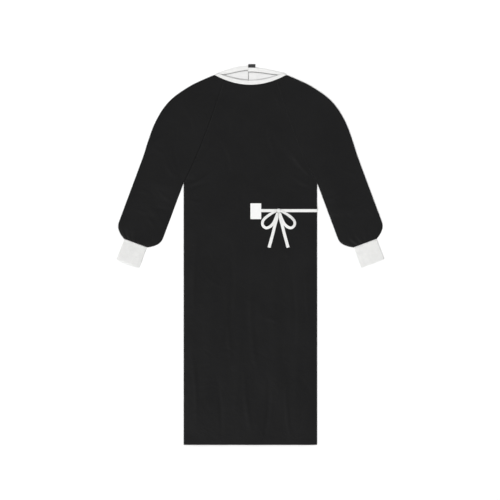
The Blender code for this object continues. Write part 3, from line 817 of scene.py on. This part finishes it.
def shoulder_row(share, side, flap):
    """A row above the underarm, between the two raglan seams."""
    tuck = np.array((-SEAM_TUCK, 0))
    start, end = raglan(share, flap) + tuck, raglan(share, "front") + tuck

    def bow(part, x):
        """How far the neckline seam lies from the straight line between its ends, fading down the sleeve."""
        layer = "front" if part == "upper" else flap
        across = np.clip((x - RAGLAN_NECK_X) / (SEAM_NECK_HALF - RAGLAN_NECK_X), 0, 1)
        on_seam = neck_seam(mix(RAGLAN_NECK_X, SEAM_NECK_HALF, across), layer)
        straight = mix(neck_seam(RAGLAN_NECK_X, layer), SHOULDER_HEIGHT, across)
        under_binding = NECK_TUCK * (1 - across**6) if share == 0 and layer == "front" else 0
        return (1 - share) ** NECK_BOW_FADE * (on_seam - straight) + under_binding

    seam = (SEAM_DIP + SEAM_TUCK) * (1 - ease((share - 0.94) / 0.06))
    row = sleeve_row(start, end, shoulder_point(share), side, -TUBE_LENGTH, bow, seam)
    return np.concatenate([np.full((2, 3), np.nan), row, np.full((3, 3), np.nan)])


def tube_row(station, side):
    """A row of the closed tube below the underarm."""
    inner = tube_edge(station, -1)
    below, above = round_edge(*inner, [-90, 90])
    row = sleeve_row(below, above, tube_edge(station, 1), side, station, lambda part, x: 0, 0)
    row[-1, 2] = above[2]
    return np.concatenate([round_edge(*inner, [-30, -60]), row, round_edge(*inner, [60, 30, 0])])


def sleeve(name, node, side, flap, cloth, inside):
    rows = [shoulder_row(share, side, flap) for share in SHARES[:-1]]
    rows += [tube_row(station, side) for station in STATIONS]
    grid = np.array(rows)
    if side < 0:
        grid = grid[::-1] * (-1, 1, 1)
    obj = cloth_piece(name, node, grid, True, cloth, inside, closed=True)


def cuff_ring(station, half, inset, ribbed):
    """A ring across the cuff: ribs all round, low ones underneath, where it rests."""
    reach = half - CUFF_RADIUS
    radius = CUFF_RADIUS - inset
    steps = RIB_SAMPLES * RIBS
    share = np.linspace(0, 1, steps + 1)
    rib = ribbed * np.sin(pi * RIBS * share) ** 2
    upper_z = CUFF_RADIUS + radius + CUFF_RISE * (1 - (2 * share - 1) ** 2) + RIB_RISE * rib
    under_z = CUFF_RADIUS - radius + UNDER_RIB_RISE * ribbed * (1 - np.sin(pi * RIBS * share) ** 2)
    upper = np.stack([mix(reach, -reach, share), upper_z], axis=-1)
    under = np.stack([mix(-reach, reach, share), under_z], axis=-1)
    turns = [radians(turn) for turn in (-60, -30, 0, 30, 60)]
    right = [(reach + radius * cos(turn), CUFF_RADIUS + radius * sin(turn)) for turn in turns]
    left = [(-x, z) for x, z in reversed(right)]
    ring = np.concatenate([right, upper, left, under])
    plan = np.array([arm_point(station, across) for across in ring[:, 0]])
    length = np.concatenate([[0], np.cumsum(np.hypot(*np.diff(ring, axis=0).T))])
    return np.column_stack([plan, ring[:, 1]]), length


def cuff(name, node, side, material):
    """A knitted tube: along its outside, round its free edge and back along its inside."""
    wall = KNIT / 2
    stops = [(station, 0.0, 1.0) for station in np.linspace(-CUFF_TUCK, CUFF_LENGTH - wall, 34)]
    for turn in np.radians((30, 60, 90, 120, 150)):
        station = CUFF_LENGTH - wall + wall * sin(turn)
        stops.append((station, wall * (1 - cos(turn)), 0.5 + 0.5 * cos(turn)))
    stops += [(station, KNIT, 0.0) for station in np.linspace(CUFF_LENGTH - wall, -CUFF_TUCK, 12)]
    rings, uv, run = [], [], 0
    for k, (station, inset, ribbed) in enumerate(stops):
        share = max(station, 0) / CUFF_LENGTH
        ring, length = cuff_ring(station, mix(*CUFF_HALF, share), inset, ribbed)
        if k:
            run += hypot(station - stops[k - 1][0], inset - stops[k - 1][1])
        rings.append(ring * (side, 1, 1))
        length = np.append(length, length[-1])
        uv.append(np.stack([length, np.full_like(length, run)], axis=-1))
    mesh = grid_mesh(name, np.array(rings), closed=True, uv=np.array(uv))
    close_ends(mesh)
    obj = add_piece(name, mesh, material, [node])


# Tapes and the knot


def tape_section(half_width, thickness, crown, crease):
    """A closed ring round a tape: over its top, round one edge, back under it and round the other."""
    across = np.linspace(-1, 1, 17)
    lift = crown * (1 - across**2) - crease * (1 - np.abs(across))
    inner = half_width - thickness / 2
    top = np.stack([across * inner, thickness / 2 + lift], axis=-1)
    under = np.stack([across[::-1] * inner, -thickness / 2 + lift[::-1]], axis=-1)
    turns = [radians(turn) for turn in (60, 30, 0, -30, -60)]
    right = [(inner + thickness / 2 * cos(turn), thickness / 2 * sin(turn)) for turn in turns]
    left = [(-x, -z) for x, z in right]
    return np.concatenate([top, right, under, left])


def tape_piece(name, node, centres, sides, widths, thickness, material, crown=0.0, creases=None):
    """A flat tape along its centres; sides point from each centre to the same edge."""
    centres, sides = np.asarray(centres, float), np.asarray(sides, float)
    sides = sides / np.linalg.norm(sides, axis=1)[:, None]
    ups = np.cross(directions(centres), sides)
    ups /= np.linalg.norm(ups, axis=1)[:, None]
    if ups[:, 2].sum() < 0:
        ups = -ups
    creases = np.zeros(len(centres)) if creases is None else creases
    run = np.concatenate([[0], np.cumsum(np.linalg.norm(np.diff(centres, axis=0), axis=1))])
    rings, uv = [], []
    for centre, side, up, width, crease, along in zip(centres, sides, ups, widths, creases, run):
        section = tape_section(width / 2, thickness, crown, crease)
        rings.append(centre + section[:, :1] * side + section[:, 1:] * up)
        across = np.append(section[:, 0], section[0, 0])
        uv.append(np.stack([across, np.full_like(across, along)], axis=-1))
    mesh = grid_mesh(name, np.array(rings), closed=True, uv=np.array(uv))
    close_ends(mesh, len(rings[0]))
    return add_piece(name, mesh, material, [node]), run[-1]


def neck_curves(layer, start, reach, share):
    """Points on a neckline's seam and on its binding's edge, from x = start to the fold that reach names."""
    seam_x, open_x = mix(start, reach * SEAM_NECK_HALF, share), mix(start, reach * OPEN_NECK_HALF, share)
    seam = np.column_stack([seam_x, neck_seam(seam_x, layer)])
    return seam, np.column_stack([open_x, neck_opening(open_x, layer)])


def binding_base(layer, plan):
    """The underside of a neck binding, which on a flap is level with the flap's underside."""
    x, height = plan.T
    if layer == "front":
        return top_height(x, height) + BINDING_PROUD - BINDING
    return inner_flap_height(x, height) if layer == "inner" else 0 * x


def binding(name, node, layer, start, reach, share, material):
    """A folded strip on a neckline, between its seam and the neck's edge."""
    seam, opening = neck_curves(layer, start, reach, share)
    across, middle = opening - seam, (seam + opening) / 2
    centres = np.column_stack([middle, binding_base(layer, middle) + BINDING / 2])
    sides = np.column_stack([across, binding_base(layer, opening) - binding_base(layer, seam)])
    widths = np.hypot(*across.T)
    obj, length = tape_piece(name, node, centres, sides, widths, BINDING, material, BINDING_CROWN)


def bindings(material):
    whole, half = np.linspace(-1, 1, 121), np.linspace(0, 1, 81)
    edge = FLAPS["inner"]["neck_edge"]
    binding("neck_binding_front", "binding_front", "front", 0, 1, whole, material)
    binding("neck_binding_outer_flap", "binding_back_outer", "outer", edge - GAP, -1, half, material)
    binding("neck_binding_inner_flap", "binding_back_inner", "inner", edge, 1, half, material)


def over_front(x):
    """The middle of a tape that lies over the front at the waist."""
    return float(top_height(x, WAIST_HEIGHT)) + TAPE_CLEARANCE + TAPE / 2


def waist_tape(name, node, route, material):
    """A tape along the waist, through these places across and heights."""
    centres = [(x, WAIST_HEIGHT, z) for x, z in route]
    count = len(centres)
    return tape_piece(name, node, centres, [(0, 1, 0)] * count, [TAPE_WIDTH] * count, TAPE, material)


def tie_long(material):
    """The belt from under the wearer's left side, round it and over the front to the knot."""
    bottom, top = TAPE / 2, over_front(TIE_SIDE)
    start, end = float(flap_edge(WAIST_HEIGHT, "outer")) + GAP, KNOT[0] + KNOT_SIZE[0] / 2 - TIE_IN_KNOT
    route = [(x, bottom) for x in np.linspace(start, TIE_SIDE - TIE_TURN_START, 16)]
    turns = [(bottom + TIE_TURN_RADIUS, angle) for angle in (-90, -60, -30, 0)]
    turns += [(top - TIE_TURN_RADIUS, angle) for angle in (0, 30, 60, 90)]
    for z, angle in turns:
        turn = radians(angle)
        route.append((TIE_SIDE + TIE_TURN_RADIUS * cos(turn), z + TIE_TURN_RADIUS * sin(turn)))
    route += [(x, over_front(x)) for x in np.linspace(TIE_SIDE - TIE_TURN_START, end, 40)]
    return waist_tape("waist_tie_long", "tie_long", route, material)


def tie_short(material):
    """The tape from under the card to the knot."""
    start, end = CARD_MIDDLE[0] - TIE_UNDER_CARD, KNOT[0] - KNOT_SIZE[0] / 2 + TIE_IN_KNOT
    route = [(x, over_front(x)) for x in np.linspace(start, end, 30)]
    return waist_tape("waist_tie_short", "tie_short", route, material)


def bow_tape(name, node, table, steps, side, material):
    """A loop or a tail of the bow, on one side of the knot."""
    rows = smooth_through(table, steps)
    ways = directions(rows[:, :2])
    across, up, widths, tilt, clearance, crease = rows.T
    level, raised = np.cos(np.radians(tilt)), np.sin(np.radians(tilt))
    x, height = KNOT[0] - side * across, KNOT[1] + up
    lift = clearance + widths / 2 * raised + TAPE / 2 * level
    centres = np.column_stack([x, height, top_height(x, height) + lift])
    sides = np.column_stack([side * ways[:, 1] * level, ways[:, 0] * level, raised])
    return tape_piece(name, node, centres, sides, widths, TAPE, material, creases=np.maximum(crease, 0))


def waist_tie(white_tape, white_card):
    """The two ties with their knot and card, and the bow's loops and tails."""
    long_tie, length = tie_long(white_tape)
    knot = bow_knot(white_tape)
    short_tie, length = tie_short(white_tape)
    tie_card(white_card)
    for part, table, steps in (("loop", LOOP, 10), ("tail", TAIL, 12)):
        for end, side in (("left", 1), ("right", -1)):
            obj, length = bow_tape(f"tie_{part}_{end}", f"bow_{part}_{end}", table, steps, side, white_tape)


def bow_knot(material):
    """The knot: the tape wound over itself, taut on top and gathered in pleats where it goes under."""
    steps, turns = 33, 72
    across = np.linspace(-1, 1, steps)[:, None]
    turn = np.linspace(0, 2 * pi, turns, endpoint=False)[None, :]
    over = np.sign(np.sin(turn)) * np.abs(np.sin(turn)) ** 0.75
    along = np.sign(np.cos(turn)) * np.abs(np.cos(turn)) ** 0.85
    rounded = (1 - across**6) ** 0.5
    gathered = np.abs(np.cos(turn)) ** 2
    pleats = np.cos(pi * KNOT_PLEATS * across + 0.6) + 0.7 * np.cos(pi * 1.7 * across + 1.9)
    pleats = KNOT_PLEAT * pleats * (0.2 + 0.8 * gathered) * rounded
    width = 1 - 0.2 * gathered
    x = KNOT_SIZE[0] / 2 * across * width
    y = (KNOT_SIZE[1] / 2 * (0.45 + 0.55 * rounded) + pleats) * along
    z = (KNOT_SIZE[2] / 2 * (0.4 + 0.6 * rounded) + pleats) * over
    height = float(top_height(*KNOT)) + TAPE_CLEARANCE + KNOT_SIZE[2] / 2
    lean = radians(KNOT_LEAN)
    grid = np.stack([x * cos(lean) - y * sin(lean), x * sin(lean) + y * cos(lean), z], axis=-1)
    grid += (*KNOT, height)
    run = np.broadcast_to(np.linspace(0, pi * KNOT_SIZE[1], turns + 1)[None, :], (steps, turns + 1))
    side = np.broadcast_to(KNOT_SIZE[0] / 2 * across, (steps, turns + 1))
    mesh = grid_mesh("tie_knot", grid, closed=True, uv=np.stack([side, run], axis=-1))
    close_ends(mesh, turns)
    return add_piece("tie_knot", mesh, material, ["bow_knot"])


# The card and the tab


def plate(name, node, low, high, bottom, thickness, material):
    """A thin plate with round corners and a softened upper edge."""
    (left, near), (right, far) = np.add(low, PLATE_CORNER), np.subtract(high, PLATE_CORNER)
    centres, ways = [], []
    for centre, start in (((right, far), 0), ((left, far), 90), ((left, near), 180), ((right, near), 270)):
        for turn in np.radians(np.linspace(start, start + 90, 7)):
            centres.append(centre)
            ways.append((cos(turn), sin(turn)))
    centres, ways = np.array(centres), np.array(ways)
    soft, bevel = PLATE_SOFT, 0.32 * PLATE_SOFT
    upper = ((0, thickness - soft), (bevel, thickness - bevel), (soft, thickness), (PLATE_FLAT, thickness))
    rings = []
    for inset, z in ((PLATE_FLAT, 0), (0, 0), *upper):
        plan = centres + (PLATE_CORNER - inset) * ways
        rings.append(np.column_stack([plan, np.full(len(plan), bottom + z)]))
    mesh = grid_mesh(name, np.array(rings), closed=True)
    close_ends(mesh, len(centres))
    return add_piece(name, mesh, material, [node])


def tie_card(material):
    middle, half = np.array(CARD_MIDDLE), np.array(CARD_SIZE) / 2
    bottom = float(top_height(*middle)) + 2 * TAPE_CLEARANCE + TAPE
    low, high = middle - half, middle + half
    return plate("transfer_card", "tie_card", low, high, bottom, CARD, material)


def tab_corners(inset):
    low = (FLAPS["inner"]["neck_edge"] + GAP, float(back_seam(0.0, "outer")) + GAP)
    return np.add(low, inset), np.subtract((FLAPS["outer"]["neck_edge"], GOWN_LENGTH), inset)


def neck_tab(material):
    low, high = tab_corners(0)
    obj = plate("neck_hook_tab", "neck_tab", low, high, 0.0, BINDING, material)


# Sewing


def stitches(name, lines, stitch, material):
    """Short rounded stitches along lines of points, half sunk into the cloth, turned by the slant."""
    pitch, length, width, slant = stitch
    unit = bmesh.new()
    bmesh.ops.create_uvsphere(unit, u_segments=8, v_segments=5, radius=0.5)
    shape = np.array([vert.co[:] for vert in unit.verts])
    faces = [[vert.index for vert in face.verts] for face in unit.faces]
    unit.free()
    lean, rise = cos(radians(slant)), sin(radians(slant))
    sizes = np.array((length, width, 0.7 * width))[:, None]
    shape = shape @ (sizes * ((lean, rise, 0), (-rise, lean, 0), (0, 0, 1)))
    points, polygons = [], []
    for line in lines:
        run = np.concatenate([[0], np.cumsum(np.linalg.norm(np.diff(line, axis=0), axis=1))])
        for at in np.arange(pitch / 2, run[-1], pitch):
            places = (at - 0.5, at, at + 0.5)
            behind, middle, ahead = np.array([np.interp(places, run, line[:, k]) for k in range(3)]).T
            along = (ahead - behind) / np.linalg.norm(ahead - behind)
            side = np.cross((0, 0, 1), along)
            side /= np.linalg.norm(side)
            turned = shape @ np.array([along, side, np.cross(along, side)])
            polygons.extend([[index + len(points) for index in face] for face in faces])
            points.extend(middle + turned)
    mesh = bpy.data.meshes.new(name)
    mesh.from_pydata(placed(points).tolist(), [], polygons)
    add_piece(name, mesh, material)


def on_front(x, height, lift=0):
    return np.column_stack([x, height, top_height(x, height) + THREAD_LIFT + lift])


def raglan_line(side):
    """A line on the front beside a raglan seam."""
    plan = np.array([raglan(share, "front") for share in np.linspace(0.02, 0.985, 120)])
    ways = directions(plan)
    plan = plan + STITCH_INSET * np.column_stack([ways[:, 1], -ways[:, 0]])
    return on_front(side * plan[:, 0], plan[:, 1])


def cuff_seam_line(side):
    """A line on the sleeve beside the cuff's seam."""
    across = np.linspace(-WRIST_HALF + 2, WRIST_HALF - 2, 60)
    plan = np.array([arm_point(-CUFF_SEAM_INSET, at) for at in across])
    share = (WRIST_HALF - across) / (2 * WRIST_HALF)
    return on_front(side * plan[:, 0], plan[:, 1], gather_rise(share, -CUFF_SEAM_INSET))


def hem_line():
    x = np.linspace(-BODY_HALF + STITCH_INSET, BODY_HALF - STITCH_INSET, 200)
    return on_front(x, np.full_like(x, HEM_STITCH_HEIGHT))


def neck_line(layer, start, reach, share, lift):
    """A line on a binding or beside it, at this share of the way from its seam to the neck's edge."""
    plan = mix(*neck_curves(layer, start, reach, np.linspace(0, 0.98, 150)), share)
    return np.column_stack([plan, binding_base(layer, plan) + lift])


def flap_edge_line(flap, top):
    """A line down a back flap's free edge, on its inside face."""
    height = np.linspace(top, 4, 420)
    inward = EDGE_STITCH_INSET if flap == "inner" else -EDGE_STITCH_INSET
    plan = np.column_stack([flap_edge(height, flap) + inward, height])
    return np.column_stack([plan, binding_base(flap, plan) + CLOTH + THREAD_LIFT])


def tab_border():
    """A line round the tab, inside its edge."""
    (left, near), (right, far) = tab_corners(TAB_BORDER_INSET)
    corners = ((left, near), (right, near), (right, far), (left, far), (left, near))
    return np.array([(x, height, BINDING + THREAD_LIFT) for x, height in corners])


def sewing(white, black):
    edge, sides = FLAPS["inner"]["neck_edge"], (-1, 1)
    flaps = (("outer", edge - 1, -1), ("inner", edge + 1, 1))
    necks = (("front", 0, -1), ("front", 0, 1), *flaps)
    lines = [neck_line(*neck, BINDING_STITCH_SHARE, BINDING + BINDING_THREAD_LIFT) for neck in necks]
    stitches("binding_stitches", lines, BINDING_STITCH, white)
    lines = [*map(raglan_line, sides), *map(cuff_seam_line, sides), hem_line()]
    stitches("seam_stitches", lines, SEAM_STITCH, black)
    lines = [flap_edge_line("inner", float(back_seam(edge, "inner")))]
    lines.append(flap_edge_line("outer", FLAP_OVERLOCK_TOP))
    lines += [neck_line(*flap, SEAM_OVERLOCK_SHARE, CLOTH + THREAD_LIFT) for flap in flaps]
    stitches("edge_overlock", lines, OVERLOCK_STITCH, black)
    stitches("tab_border", [tab_border()], TAB_STITCH, black)


# The stage


def stage():
    bpy.ops.mesh.primitive_plane_add(size=120, location=(0, 0, -0.0003))
    floor = bpy.context.object
    floor.name = "floor"
    finish = Finish("pale_floor", (0.94, 0.94, 0.94), 0.9)
    finish.set(Specular_IOR_Level=0.1)
    floor.data.materials.append(finish.material)


def sun(name, place, spread, share):
    """A soft sun seen towards this place, which gives a level surface this share of full light."""
    place = Vector(place)
    data = bpy.data.lights.new(name, "SUN")
    data.energy = share * pi * place.length / place.z
    data.angle = radians(spread)
    light = bpy.data.objects.new(name, data)
    light.location = place
    light.rotation_euler = (-place).to_track_quat("-Z", "Y").to_euler()
    bpy.context.scene.collection.objects.link(light)


def sky():
    """White at the horizon and dimmer overhead, so that the black cloth stays dark from above."""
    world = bpy.data.worlds.new("studio")
    world.use_nodes = True
    tree = world.node_tree
    place = tree.nodes.new("ShaderNodeTexCoord")
    parts = tree.nodes.new("ShaderNodeSeparateXYZ")
    ramp = tree.nodes.new("ShaderNodeValToRGB")
    for element, (position, level) in zip(ramp.color_ramp.elements, SKY):
        element.position = position
        element.color = (level, level, level, 1)
    tree.links.new(place.outputs["Generated"], parts.inputs[0])
    tree.links.new(parts.outputs["Z"], ramp.inputs[0])
    tree.links.new(ramp.outputs[0], tree.nodes["Background"].inputs["Color"])
    bpy.context.scene.world = world


def lights():
    for row in SUNS:
        sun(*row)
    sky()
    bpy.context.scene.view_settings.view_transform = "Standard"


def camera():
    data = bpy.data.cameras.new("camera")
    data.lens = CAMERA_LENS
    data.sensor_width = SENSOR
    obj = bpy.data.objects.new("camera", data)
    obj.location = (*VIEW_MIDDLE, VIEW_WIDTH * CAMERA_LENS / SENSOR)
    bpy.context.scene.collection.objects.link(obj)
    bpy.context.scene.camera = obj


def build():
    black = nonwoven("black_nonwoven", (0.0025, 0.0025, 0.0028), (0.0042, 0.0042, 0.0045), 0.68, 0.2, 0.01)
    white_inside = nonwoven("white_inside", (0.74, 0.74, 0.735), (0.78, 0.78, 0.775), 0.8, 0.3, 0.05)
    white_tape, white_thread, white_knit = tape(), thread("white_thread", (0.82, 0.82, 0.8)), knit()

    panels(black, white_inside)
    sleeve("cloth_sleeve_left", "sleeve_left", 1, "inner", black, white_inside)
    sleeve("cloth_sleeve_right", "sleeve_right", -1, "outer", black, white_inside)
    cuff("knit_cuff_left", "cuff_left", 1, white_knit)
    cuff("knit_cuff_right", "cuff_right", -1, white_knit)
    bindings(white_tape)
    neck_tab(hooks())
    waist_tie(white_tape, card())
    sewing(white_thread, thread("black_thread", (0.02, 0.02, 0.021)))


build()
stage()
lights()
camera()

bpy.context.view_layer.update()
